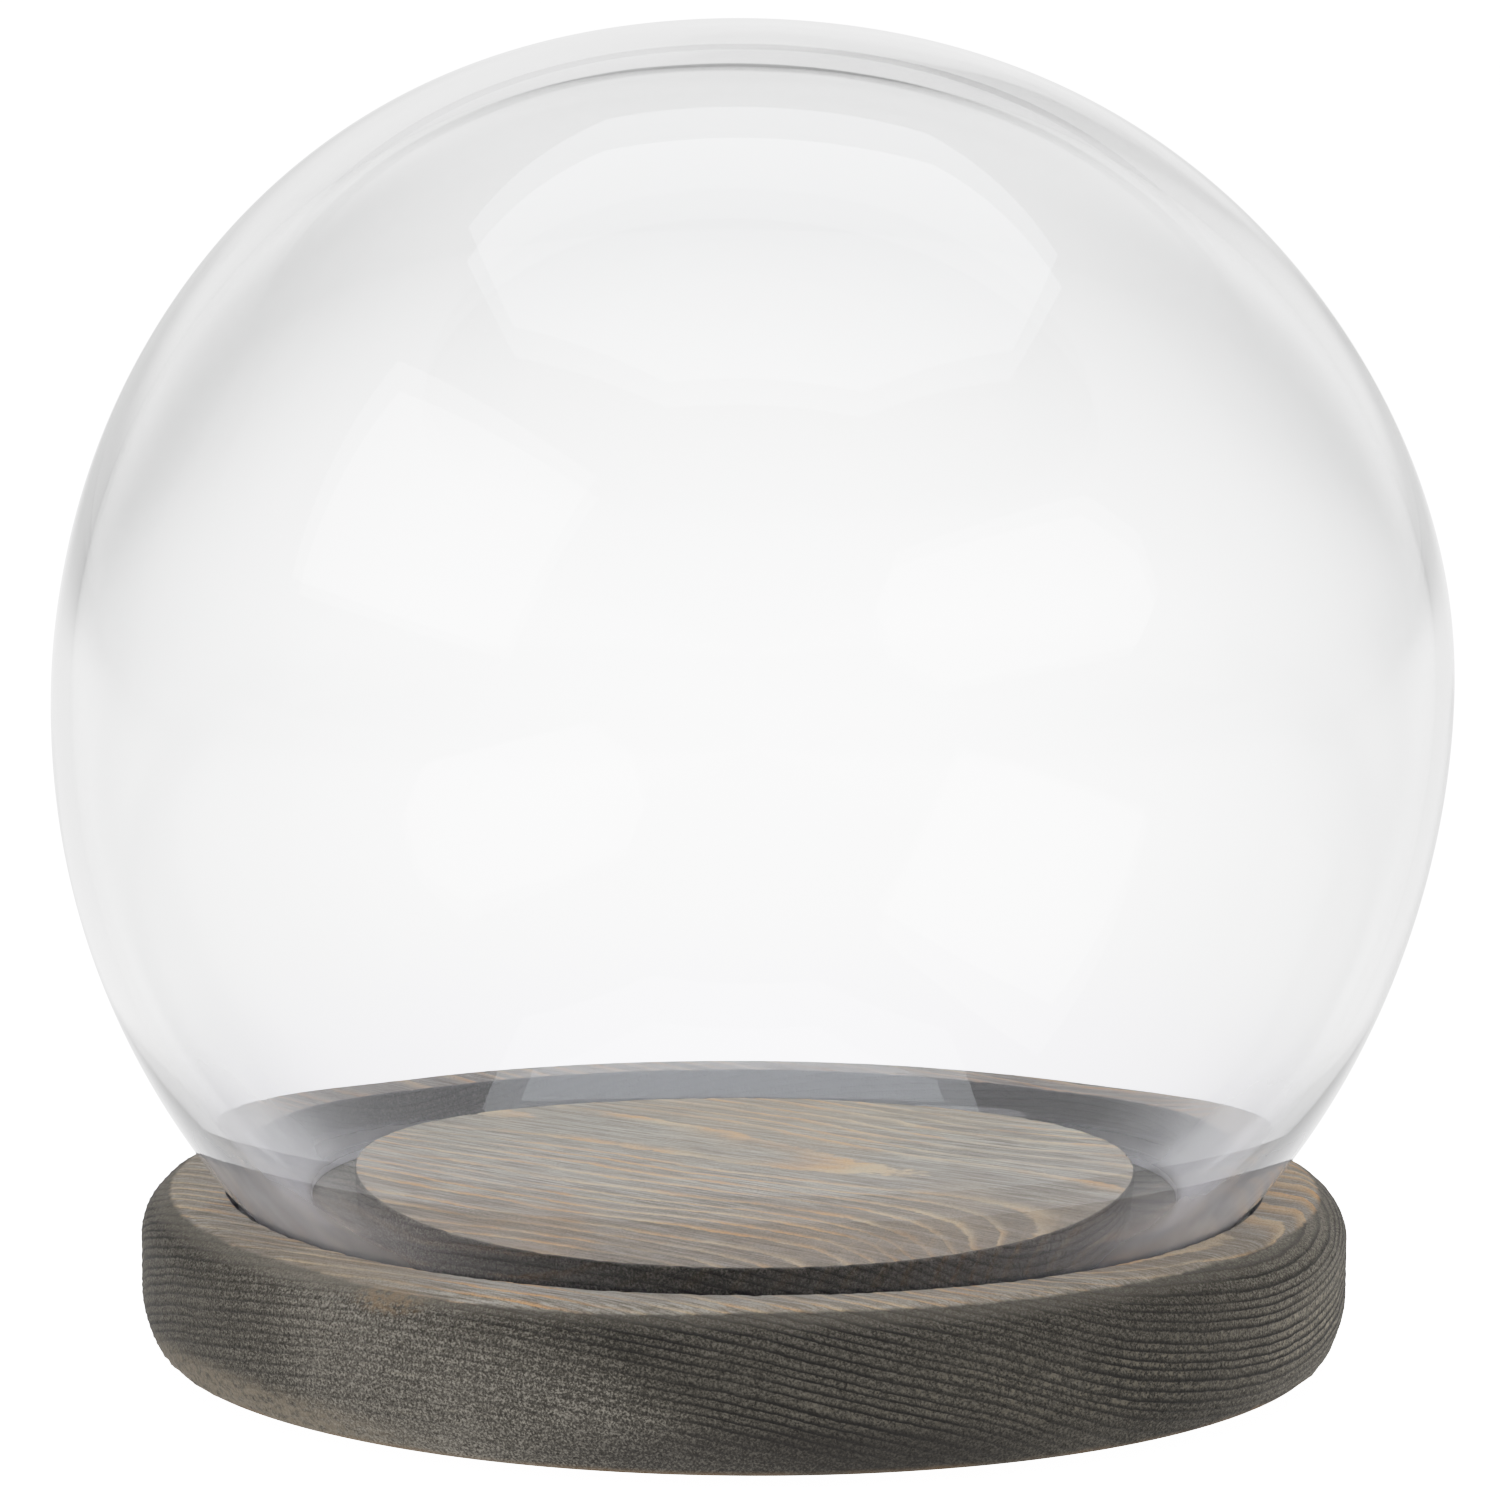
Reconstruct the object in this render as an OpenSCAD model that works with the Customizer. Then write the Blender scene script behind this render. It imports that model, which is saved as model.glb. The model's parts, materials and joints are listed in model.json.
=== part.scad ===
// Display cloche: a blown glass globe that drops into a turned wooden base.
// Millimetres, +Z up, front towards -Y. The origin is on the turning axis, in the plane
// that the foot pads stand on. The globe lifts straight up along +Z.

/* [Glass globe] */
// Largest outside diameter of the globe
globe_d = 220; // [216:0.5:220.5]
// Height from the widest ring of the globe up to the crown
crown_h = 105.4; // [95:0.1:125]
// Half height of the ellipse that the lower half of the globe follows
neck_h = 118; // [117:0.5:118.5]
// Height of the widest ring above the top of the base
waist_h = 79; // [78.5:0.1:80]
// Wall thickness at the widest ring
side_wall = 3; // [2:0.1:3.5]
// Wall thickness at the crown, where the gather was left thick
crown_wall = 5.6; // [3:0.1:8]
// How far the rounded shoulders below the crown stand out beyond a plain ellipse
crown_full = 1; // [0:0.1:1.5]
// Wall thickness, measured level, that the even part of the wall would reach at the rim
low_wall = 5.1; // [3.5:0.1:6]
// Extra glass gathered in the neck, measured level at the rim
neck_swell = 2.1; // [0:0.1:2.5]
// Height above the top of the base at which the neck begins to swell
swell_h = 33; // [25:0.5:45]

/* [Wooden base] */
// Diameter of the base at its widest
base_d = 190.8; // [188:0.1:220]
// Thickness of the base, one inch stock
base_h = 25.4; // [22:0.1:32]
// Radius of the rounded top shoulder
shoulder_r = 7.4; // [2:0.1:9]
// Height of the softened lower edge
heel_h = 10; // [4:0.5:12]
// How far the lower edge is drawn in at the underside
heel_in = 3.3; // [1:0.1:4]
// Width of the easing on the sharp turned edges
edge_ease = 0.5; // [0.2:0.1:0.8]

/* [Groove for the globe] */
// Diameter of the outer wall of the groove
groove_d = 164; // [163.6:0.1:166]
// Diameter of the flat display plateau inside the groove
plateau_d = 125.6; // [100:0.1:130]
// Depth of the groove below the top of the base
groove_h = 8; // [6:0.5:8.5]
// Height of the plateau's facing cut above the outer ring: negative lowers the plateau
plateau_up = 0; // [-2:0.1:2]
// Air left under the glass rim at rest
rim_gap = 0.05; // [0.05:0.05:0.5]

/* [Foot pads] */
// Diameter of one felt pad
pad_d = 19; // [12:0.5:25]
// Thickness of one felt pad
pad_h = 1.5; // [1:0.1:4]
// Diameter of the circle that the pads sit on
pad_circle_d = 140; // [90:1:150]

/* [Hidden] */

// Facets round a full circle
$fn = 96;
turned_fn = 128;
heel_fn = 256;
pad_fn = 48;

// Heights above the foot plane
top_z = pad_h + base_h;
plateau_z = top_z + plateau_up;
floor_z = top_z - groove_h;
rim_z = floor_z + rim_gap;
waist_z = top_z + waist_h;
swell_z = top_z + swell_h;

// ---- Glass globe ----

wall_steps = 44; // steps along each quarter of the wall
rim_steps = 12; // steps round the melted rim
rim_lean = 0.55; // inward lean of the rim's lowest point, as a share of its height

globe_r = globe_d / 2;
bore_r = globe_r - side_wall;
bore_crown = crown_h - crown_wall;
rim_drop = waist_z - rim_z;
rim_round = (low_wall + neck_swell) / 2; // height of the rounded rim

// Given one coordinate of a point on a unit circle, the other
function other_leg(leg) = sqrt(1 - leg * leg);

// Half height of the lower inner ellipse, chosen to leave the even wall at the rim
rim_in_r = globe_r * other_leg(rim_drop / neck_h) - low_wall;
bore_h = rim_drop / other_leg(rim_in_r / bore_r);

// Angle, from the waist, at which a lower arc meets the top of the rounded rim
function rim_angle(half_h) = -asin((rim_drop - rim_round) / half_h);
low_out = rim_angle(neck_h);
low_in = rim_angle(bore_h);

// Extra wall thickness at height z, growing smoothly from nothing towards the rim
function swell(z) = neck_swell * pow(max(0, (swell_z - z) / (swell_z - rim_z)), 2);

// Fullness above the waist: nothing at the waist and the crown, crown_full at its peak
function fullness(angle) = pow(sin(angle), 5) * pow(cos(angle), 2);
full_peak = fullness(atan(sqrt(5 / 2)));
function full(angle) = crown_full * fullness(angle) / full_peak;

// Points [radius, z] on an ellipse about the waist, and on the fuller one above it
function arc_point(half_w, half_h, angle) =
    [half_w * cos(angle), waist_z + half_h * sin(angle)];
function crown_point(half_w, half_h, angle) =
    arc_point(half_w + full(angle), half_h + full(angle), angle);

// Outline in order: up the outside to the crown, down the inside, round the rim
outer_low = [for (i = [0 : wall_steps])
    arc_point(globe_r, neck_h, low_out * (1 - i / wall_steps))];
outer_crown = [for (i = [1 : wall_steps - 1])
    crown_point(globe_r, crown_h, 90 * i / wall_steps)];
axis_points = [[0, waist_z + crown_h], [0, waist_z + bore_crown]];
inner_crown = [for (i = [wall_steps - 1 : -1 : 1])
    crown_point(bore_r, bore_crown, 90 * i / wall_steps)];
inner_low = [for (i = [0 : wall_steps])
    let (even = arc_point(bore_r, bore_h, low_in * i / wall_steps))
    [even[0] - swell(even[1]), even[1]]];

// Melted rim: a half ellipse, leaning inward, from the inner wall to the outer wall
rim_top_out = globe_r * cos(low_out);
rim_top_in = bore_r * cos(low_in) - swell(rim_z + rim_round);
rim_mid_r = (rim_top_out + rim_top_in) / 2;
rim_half_w = (rim_top_out - rim_top_in) / 2;
rim_points = [for (i = [1 : rim_steps - 1])
    let (angle = 180 * i / rim_steps, drop = rim_round * sin(angle))
    [rim_mid_r - rim_half_w * cos(angle) - rim_lean * drop, rim_z + rim_round - drop]];

// The blown globe, open at the bottom
module glass_dome() {
    color([0.86, 0.9, 0.9, 0.45])
        rotate_extrude($fn = turned_fn)
            polygon(concat(outer_low, outer_crown, axis_points,
                           inner_crown, inner_low, rim_points));
}

// ---- Wooden base ----

base_r = base_d / 2;
plateau_r = plateau_d / 2;
// Arc that runs from the side of the base, where it is tangent, to the underside
heel_arc = (heel_h * heel_h + heel_in * heel_in) / (2 * heel_in);

// How far the cutting shapes run past the wood they remove
cut_past = 1;
heel_cut_in = 4;
heel_cut_out = 6;
sliver = 0.001;

// Corner of the half section outside the heel arc
module heel_cut() {
    difference() {
        translate([base_r - heel_in - heel_cut_in, pad_h - cut_past])
            square([heel_cut_in + heel_in + heel_cut_out, heel_h + cut_past]);
        translate([base_r - heel_arc, pad_h + heel_h]) circle(r = heel_arc, $fn = heel_fn);
    }
}

// Half section of the base before the groove is turned
module base_section() {
    difference() {
        union() {
            // full width, up to the start of the shoulder
            translate([0, pad_h]) square([base_r, base_h - shoulder_r]);
            // full height, out to the start of the shoulder
            translate([0, pad_h]) square([base_r - shoulder_r, base_h]);
            translate([base_r - shoulder_r, top_z - shoulder_r]) circle(r = shoulder_r);
        }
        heel_cut();
    }
}

// Ring between the plateau and the outer wall, open at the top
module groove_cut() {
    difference() {
        translate([0, 0, floor_z]) cylinder(d = groove_d, h = base_h, $fn = turned_fn);
        translate([0, 0, floor_z - cut_past])
            cylinder(d = plateau_d, h = base_h, $fn = turned_fn);
    }
}

// Ring that bevels the plateau's edge
module plateau_ease_cut() {
    translate([0, 0, plateau_z - edge_ease])
        difference() {
            cylinder(d = plateau_d + cut_past, h = edge_ease + cut_past, $fn = turned_fn);
            translate([0, 0, -sliver])
                cylinder(r1 = plateau_r, r2 = plateau_r - edge_ease,
                         h = edge_ease + sliver, $fn = turned_fn);
            translate([0, 0, -cut_past])
                cylinder(r = plateau_r - edge_ease, h = edge_ease + 3 * cut_past,
                         $fn = turned_fn);
        }
}

// One piece of turned wood, with an annular groove cut in its top
module wood_base() {
    color([0.47, 0.43, 0.38])
        difference() {
            rotate_extrude($fn = turned_fn) base_section();
            groove_cut();
            // the plateau is faced off to its own height
            translate([0, 0, plateau_z])
                cylinder(d = plateau_d + cut_past, h = base_h, $fn = turned_fn);
            // eased inner edge of the outer ring
            translate([0, 0, top_z - edge_ease])
                cylinder(r1 = groove_d / 2, r2 = groove_d / 2 + edge_ease, h = edge_ease,
                         $fn = turned_fn);
            plateau_ease_cut();
        }
}

// ---- Foot pads ----

// One felt disc under the base, at an angle anticlockwise from +X seen from above
module foot_pad(angle) {
    color([0.16, 0.15, 0.14])
        rotate([0, 0, angle])
            translate([pad_circle_d / 2, 0, 0])
                cylinder(d = pad_d, h = pad_h, $fn = pad_fn);
}

glass_dome();
wood_base();
foot_pad(225);  // foot_pad_front_left
foot_pad(315);  // foot_pad_front_right
foot_pad(135);  // foot_pad_back_left
foot_pad(45);  // foot_pad_back_right
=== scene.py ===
"""Looks for the display cloche: blown glass globe, turned and stained wooden base, felt pads."""

import json
import math

import bpy
import numpy as np
from mathutils import Euler, Matrix, Vector

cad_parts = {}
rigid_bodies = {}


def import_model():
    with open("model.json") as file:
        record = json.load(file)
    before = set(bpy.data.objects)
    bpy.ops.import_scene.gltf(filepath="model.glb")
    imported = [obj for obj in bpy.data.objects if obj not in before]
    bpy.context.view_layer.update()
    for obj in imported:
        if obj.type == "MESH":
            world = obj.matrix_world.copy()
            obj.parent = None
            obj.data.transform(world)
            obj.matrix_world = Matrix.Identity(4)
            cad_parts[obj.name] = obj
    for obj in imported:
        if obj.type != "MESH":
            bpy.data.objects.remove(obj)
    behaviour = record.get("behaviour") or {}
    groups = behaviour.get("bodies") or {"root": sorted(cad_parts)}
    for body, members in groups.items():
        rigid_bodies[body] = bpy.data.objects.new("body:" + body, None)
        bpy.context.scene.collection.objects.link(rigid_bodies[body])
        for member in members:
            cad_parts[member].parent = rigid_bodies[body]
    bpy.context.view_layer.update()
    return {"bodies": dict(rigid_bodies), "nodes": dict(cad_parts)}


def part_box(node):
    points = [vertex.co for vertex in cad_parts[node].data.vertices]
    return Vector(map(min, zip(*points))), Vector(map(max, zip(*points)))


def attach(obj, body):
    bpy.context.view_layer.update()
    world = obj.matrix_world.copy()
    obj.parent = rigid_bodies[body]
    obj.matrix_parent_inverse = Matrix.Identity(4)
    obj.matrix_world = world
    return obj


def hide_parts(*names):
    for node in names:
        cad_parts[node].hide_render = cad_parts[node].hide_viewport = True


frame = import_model()
scene = bpy.context.scene

MM = 0.001

# ---------------------------------------------------------------- sizes, mm; the crown, rim, top and pad heights read off the CAD boxes
g_lo, g_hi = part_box("glass_dome")
w_lo, w_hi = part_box("wood_base")
GLOBE_R = 110.0
CROWN_Z = g_hi.z / MM
RIM_Z = g_lo.z / MM
TOP_Z = w_hi.z / MM
PAD_H = w_lo.z / MM
BASE_R = 95.4
CROWN_H = 105.4
NECK_H = 118.0
WAIST_Z = CROWN_Z - CROWN_H
SIDE_WALL = 3.0
CROWN_WALL = 5.6
CROWN_FULL = 1.0
LOW_WALL = 5.1
NECK_SWELL = 2.1
SWELL_H = 33.0
SHOULDER_R = 7.4
HEEL_H = 10.0
HEEL_IN = 3.3
GROOVE_R = 82.0
PLATEAU_R = 62.8
GROOVE_H = 8.0
EASE = 0.5


# ---------------------------------------------------------------- smooth wandering functions
def waves(seed, count, longest, shortest):
    """A sum of sine waves in 3-D, about -1 to 1. Returns f(points in mm) -> values."""
    rng = np.random.RandomState(seed)
    d = rng.normal(size=(count, 3))
    d /= np.linalg.norm(d, axis=1)[:, None]
    lam = np.exp(rng.uniform(math.log(shortest), math.log(longest), count))
    k = d * (2 * math.pi / lam)[:, None]
    ph = rng.uniform(0, 2 * math.pi, count)
    amp = 1.0 / math.sqrt(count) * 1.2

    def f(p):
        out = np.zeros(len(p))
        for i in range(count):
            out += np.sin(p @ k[i] + ph[i])
        return out * amp

    return f


def smooth(x, a, b):
    t = np.clip((x - a) / (b - a), 0, 1)
    return t * t * (3 - 2 * t)


def mesh_object(name, verts_mm, faces, smooth_faces=True):
    me = bpy.data.meshes.new(name)
    me.from_pydata((np.asarray(verts_mm) * MM).tolist(), [], faces)
    me.validate()
    me.update()
    if smooth_faces:
        me.polygons.foreach_set("use_smooth", [True] * len(me.polygons))
    ob = bpy.data.objects.new(name, me)
    scene.collection.objects.link(ob)
    return ob


def lathe(profile, around):
    """profile: (n, 2) radius and height, mm. A radius of 0 becomes one pole vertex. Returns points (m, 3), row index lists and quads."""
    ang = np.linspace(0, 2 * math.pi, around, endpoint=False)
    pts, rows = [], []
    for r, z in profile:
        if r < 1e-6:
            rows.append([len(pts)])
            pts.append((0.0, 0.0, z))
        else:
            rows.append(list(range(len(pts), len(pts) + around)))
            pts.extend(zip(r * np.cos(ang), r * np.sin(ang), np.full(around, z)))
    faces = []
    for a, b in zip(rows[:-1], rows[1:]):
        for j in range(around):
            k = (j + 1) % around
            if len(a) == 1 and len(b) == 1:
                continue
            if len(a) == 1:
                faces.append((a[0], b[k], b[j]))
            elif len(b) == 1:
                faces.append((a[j], a[k], b[0]))
            else:
                faces.append((a[j], a[k], b[k], b[j]))
    return np.array(pts), rows, faces


# ---------------------------------------------------------------- the glass globe
def make_glass():
    rim_drop = WAIST_Z - RIM_Z
    rim_round = (LOW_WALL + NECK_SWELL) / 2
    rim_out = GLOBE_R * math.sqrt(1 - (rim_drop / NECK_H) ** 2)
    rim_in = rim_out - LOW_WALL
    bore_r = GLOBE_R - SIDE_WALL
    bore_h = rim_drop / math.sqrt(1 - (rim_in / bore_r) ** 2)
    bore_crown = CROWN_H - CROWN_WALL
    low_out = -math.asin((rim_drop - rim_round) / NECK_H)
    low_in = -math.asin((rim_drop - rim_round) / bore_h)
    swell_z = TOP_Z + SWELL_H

    def neck(z):
        return NECK_SWELL * max(0.0, (swell_z - z) / (swell_z - RIM_Z)) ** 2

    def full(t):
        def hump(a):
            return math.sin(a) ** 5 * math.cos(a) ** 2
        return CROWN_FULL * hump(t) / hump(math.atan(math.sqrt(2.5)))

    n_low, n_up = 90, 110
    prof, side = [], []
    for i in range(n_low + 1):
        t = low_out * (1 - i / n_low)
        prof.append((GLOBE_R * math.cos(t), WAIST_Z + NECK_H * math.sin(t)))
        side.append(1)
    for i in range(1, n_up):
        t = math.pi / 2 * i / n_up
        prof.append(((GLOBE_R + full(t)) * math.cos(t), WAIST_Z + (CROWN_H + full(t)) * math.sin(t)))
        side.append(1)
    prof.append((0.0, WAIST_Z + CROWN_H))
    side.append(1)
    n_outer = len(prof)
    prof.append((0.0, WAIST_Z + bore_crown))
    side.append(-1)
    for i in range(n_up - 1, 0, -1):
        t = math.pi / 2 * i / n_up
        prof.append(((bore_r + full(t)) * math.cos(t), WAIST_Z + (bore_crown + full(t)) * math.sin(t)))
        side.append(-1)
    for i in range(n_low + 1):
        t = low_in * i / n_low
        z = WAIST_Z + bore_h * math.sin(t)
        prof.append((bore_r * math.cos(t) - neck(z), z))
        side.append(-1)
    # fire polished rim: half an ellipse from the inner wall round to the outer wall
    o_r, i_r = GLOBE_R * math.cos(low_out), prof[-1][0]
    m, w = (o_r + i_r) / 2, (o_r - i_r) / 2
    for i in range(1, 16):
        u = math.pi * i / 16
        prof.append((m - w * math.cos(u) - rim_round * 0.55 * math.sin(u), RIM_Z + rim_round - rim_round * math.sin(u)))
        side.append(0)
    around = 288
    pts, rows, faces = lathe(prof, around)
    # the profile is a closed loop: join the last rim row to the first outer row
    a, b = rows[-1], rows[0]
    for j in range(around):
        k = (j + 1) % around
        faces.append((a[j], a[k], b[k], b[j]))
    # the two poles are neighbours in the profile, but the lathe skips a face between them
    kind = np.zeros(len(pts))
    for r, s in zip(rows, side):
        kind[r] = s
    free = smooth(pts[:, 2], RIM_Z + 30, RIM_Z + 110)  # nothing moves in the neck
    up = smooth(pts[:, 2], WAIST_Z - 10, WAIST_Z + 70)
    n = pts - np.array([0, 0, WAIST_Z])
    n /= np.maximum(np.linalg.norm(n, axis=1), 1e-9)[:, None]
    swell = waves(11, 7, 420, 190)
    roll = waves(23, 9, 210, 105)
    drift = waves(31, 9, 80, 48)
    out = pts.copy()
    # shape of the whole wall: slow unroundness of a hand blown globe
    out += n * (0.22 * swell(pts) * free)[:, None]
    # inner skin: uneven wall, strongest high up where the glass was thick and soft
    inner = kind < 0
    wall = 0.04 * roll(pts) * free + (0.09 * roll(pts * 0.8 + 40) + 0.014 * drift(pts)) * up
    out[inner] += n[inner] * wall[inner][:, None]
    outer = kind > 0
    out[outer] += n[outer] * (0.02 * roll(pts[outer] + 90) * free[outer])[:, None]
    # the crown leans a little to the left, the waist a little to the right
    h = (pts[:, 2] - RIM_Z) / (CROWN_Z - RIM_Z)
    out[:, 0] += free * (1.05 * np.sin(h * math.pi * 0.9) - 1.15 * smooth(h, 0.5, 1.0))
    ob = mesh_object("globe_glass", out, faces)
    return ob


# ---------------------------------------------------------------- growth rings in the wood
PHI = math.radians(-34.0)
RING = 1.5


def ring_field(p):
    """Height of a point inside the stack of growth layers, mm. Layers sag along an axis that runs to the right front."""
    x, y, z = p[:, 0], p[:, 1], p[:, 2] - PAD_H
    s = x * math.cos(PHI) + y * math.sin(PHI)
    t = -x * math.sin(PHI) + y * math.cos(PHI)
    wander = (1.5 * np.sin(x * 0.052 + 0.6) * np.cos(y * 0.047 - 0.4)
              + 1.0 * np.sin(0.085 * (x * 0.6 - y * 0.9) + 1.1 + 0.02 * z)
              + 0.6 * np.sin(0.17 * (x * 0.8 + y * 0.5) + 0.4)
              + 0.3 * np.sin(0.31 * (x * 0.3 - y * 0.9) + 2.0))
    tw = t + wander * 0.9 - 13.5 + 0.02 * (s + 40)
    b = 11.0 + 22.0 / (1 + np.exp(-(s - 60) / 14.0))
    g = z - 0.034 * s - 0.33 * (np.sqrt(tw * tw + b * b) - b)
    g = g + 5.6 * np.exp(-(((s - 72) / 19.0) ** 2 + ((t + 25) / 21.0) ** 2))
    g = g - 1.25 / (1 + np.exp(-(g - 25.75) / 0.55))
    g = g + 0.20 * np.sin(g * 0.83 + 0.7) + 0.09 * np.sin(g * 1.9 + 1.9)
    return g


PHASE = 0.33


def late_share(g):
    """0 in early wood, 1 in late wood, for the relief."""
    f = np.mod(-g / RING + PHASE, 1.0)
    return np.clip((f - 0.60) / 0.26, 0, 1) ** 1.5 * np.clip((1.0 - f) / 0.08, 0, 1)


def arc(cx, cz, r, a0, a1, n):
    return [(cx + r * math.cos(math.radians(a0 + (a1 - a0) * i / n)), cz + r * math.sin(math.radians(a0 + (a1 - a0) * i / n))) for i in range(n + 1)]


def line(p, q, step):
    n = max(1, int(round(math.hypot(q[0] - p[0], q[1] - p[1]) / step)))
    return [(p[0] + (q[0] - p[0]) * i / n, p[1] + (q[1] - p[1]) * i / n) for i in range(n + 1)]


def chain(*parts):
    out = []
    for part in parts:
        for q in part:
            if not out or math.hypot(out[-1][0] - q[0], out[-1][1] - q[1]) > 1e-4:
                out.append(q)
    return out


def make_wood():
    heel_arc = (HEEL_H ** 2 + HEEL_IN ** 2) / (2 * HEEL_IN)
    heel_a = math.degrees(math.asin(HEEL_H / heel_arc))
    floor_z = TOP_Z - GROOVE_H
    e = EASE
    fil = 0.6  # tool radius left in the groove's corners
    prof = chain(
        [(0.0, PAD_H)],
        line((2.0, PAD_H), (BASE_R - HEEL_IN - 1.0, PAD_H), 3.0),
        # small softened arris at the underside
        arc(BASE_R - HEEL_IN - 0.75, PAD_H + 0.7, 0.7, -90, -40, 4),
        arc(BASE_R - heel_arc, PAD_H + HEEL_H, heel_arc, -heel_a + 2.8, 0, 26),
        line((BASE_R, PAD_H + HEEL_H), (BASE_R, TOP_Z - SHOULDER_R), 0.3),
        arc(BASE_R - SHOULDER_R, TOP_Z - SHOULDER_R, SHOULDER_R, 0, 90, 34),
        line((BASE_R - SHOULDER_R, TOP_Z), (GROOVE_R + e, TOP_Z), 0.5),
        arc(GROOVE_R + e, TOP_Z - e, e, 90, 180, 5),
        line((GROOVE_R, TOP_Z - e), (GROOVE_R, floor_z + fil), 0.5),
        arc(GROOVE_R - fil, floor_z + fil, fil, 0, -90, 4),
        line((GROOVE_R - fil, floor_z), (PLATEAU_R + fil, floor_z), 1.2),
        arc(PLATEAU_R + fil, floor_z + fil, fil, 270, 180, 4),
        line((PLATEAU_R, floor_z + fil), (PLATEAU_R, TOP_Z - e), 0.5),
        arc(PLATEAU_R - e, TOP_Z - e, e, 0, 90, 5),
        line((PLATEAU_R - e, TOP_Z), (1.6, TOP_Z), 0.55),
        [(0.0, TOP_Z)],
    )
    prof = np.array(prof)
    tang = np.gradient(prof, axis=0)
    nrm = np.stack([tang[:, 1], -tang[:, 0]], 1)
    nrm /= np.maximum(np.linalg.norm(nrm, axis=1), 1e-9)[:, None]
    around = 720
    pts, rows, faces = lathe(prof, around)
    row_of = np.zeros(len(pts), int)
    for i, r in enumerate(rows):
        row_of[r] = i
    rad = np.maximum(np.hypot(pts[:, 0], pts[:, 1]), 1e-9)
    n3 = np.stack([nrm[row_of, 0] * pts[:, 0] / rad, nrm[row_of, 0] * pts[:, 1] / rad, nrm[row_of, 1]], 1)
    g = ring_field(pts)
    late = late_share(g)
    level = nrm[row_of, 1].copy()  # 1 where the surface looks up and was sanded
    level[(pts[:, 2] < TOP_Z - 1.2) & (rad < GROOVE_R + 0.4)] = 0.0  # inside the groove the stain was left alone
    on_side = smooth(-level, -0.93, -0.75)
    # relief: the soft early wood is worn back between the hard late wood
    d = late * (0.10 * on_side + 0.02 * (1 - on_side))
    coarse = waves(5, 14, 9, 2.6)
    slow = waves(7, 8, 130, 45)
    d += 0.035 * coarse(pts) * on_side + 0.06 * slow(pts) * smooth(pts[:, 2], PAD_H + 1, PAD_H + 6) * on_side
    # knocks and wear on the two outer edges
    edge = np.exp(-((rad - (BASE_R - 1.6)) / 2.2) ** 2) * np.exp(-((pts[:, 2] - (TOP_Z - 1.2)) / 2.4) ** 2)
    heel = np.exp(-((rad - (BASE_R - HEEL_IN)) / 1.8) ** 2) * np.exp(-((pts[:, 2] - PAD_H) / 1.8) ** 2)
    knocks = waves(17, 16, 16, 5)
    d -= 0.28 * edge * np.clip(knocks(pts) - 0.35, 0, 2)
    d -= 0.30 * heel * np.clip(knocks(pts + 31) - 0.3, 0, 2)
    # torn fibres on the sharp turned edges of the groove
    for r0 in (GROOVE_R, PLATEAU_R):
        lip = np.exp(-((rad - r0) / 0.6) ** 2) * np.exp(-((pts[:, 2] - TOP_Z) / 0.7) ** 2)
        d -= 0.14 * lip * np.clip(waves(41, 18, 7, 1.6)(pts) - 0.1, 0, 2)
    d[rad < 1e-6] = 0
    # the underside stays flat for the pads
    d *= smooth(pts[:, 2], PAD_H, PAD_H + 0.6)
    out = pts + n3 * d[:, None]
    out[:, 2] = np.maximum(out[:, 2], PAD_H)
    ob = mesh_object("turned_base", out, faces)
    me = ob.data
    for name, values in (("ring", g), ("face_up", level)):
        at = me.attributes.new(name, "FLOAT", "POINT")
        at.data.foreach_set("value", values.astype(np.float32))
    return ob


# ---------------------------------------------------------------- felt pads
def make_pad(node):
    lo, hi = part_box(node)
    c = (lo + hi) / 2 / MM
    r = (hi.x - lo.x) / 2 / MM
    h = (hi.z - lo.z) / MM
    e = 0.35
    prof = chain([(0.0, 0.0)], line((0.8, 0.0), (r - e, 0.0), 0.9), arc(r - e, e, e, -90, 0, 5), line((r, e), (r, h - e * 0.6), 0.25),
                 arc(r - e * 0.6, h - e * 0.6, e * 0.6, 0, 90, 3), line((r - e, h), (0.8, h), 1.5), [(0.0, h)])
    pts, rows, faces = lathe(prof, 120)
    fuzz = waves(abs(int(c[0] * 7 + c[1] * 3)) % 997, 18, 2.4, 0.7)
    rad = np.maximum(np.hypot(pts[:, 0], pts[:, 1]), 1e-9)
    # only ever inwards, so that the disc keeps its size
    k = np.clip(fuzz(pts) * 0.5 + 0.5, 0, 1) * 0.10 * smooth(rad, r - 1.0, r - 0.1)
    pts[:, 0] -= pts[:, 0] / rad * k
    pts[:, 1] -= pts[:, 1] / rad * k
    low = (pts[:, 2] < 0.01) & (rad < r - 0.4)
    pts[low, 2] += 0.05 * np.clip(fuzz(pts[low] + 9), 0, 1)
    pts += np.array([c[0], c[1], lo.z / MM])
    return mesh_object("felt_" + node, pts, faces)


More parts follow.
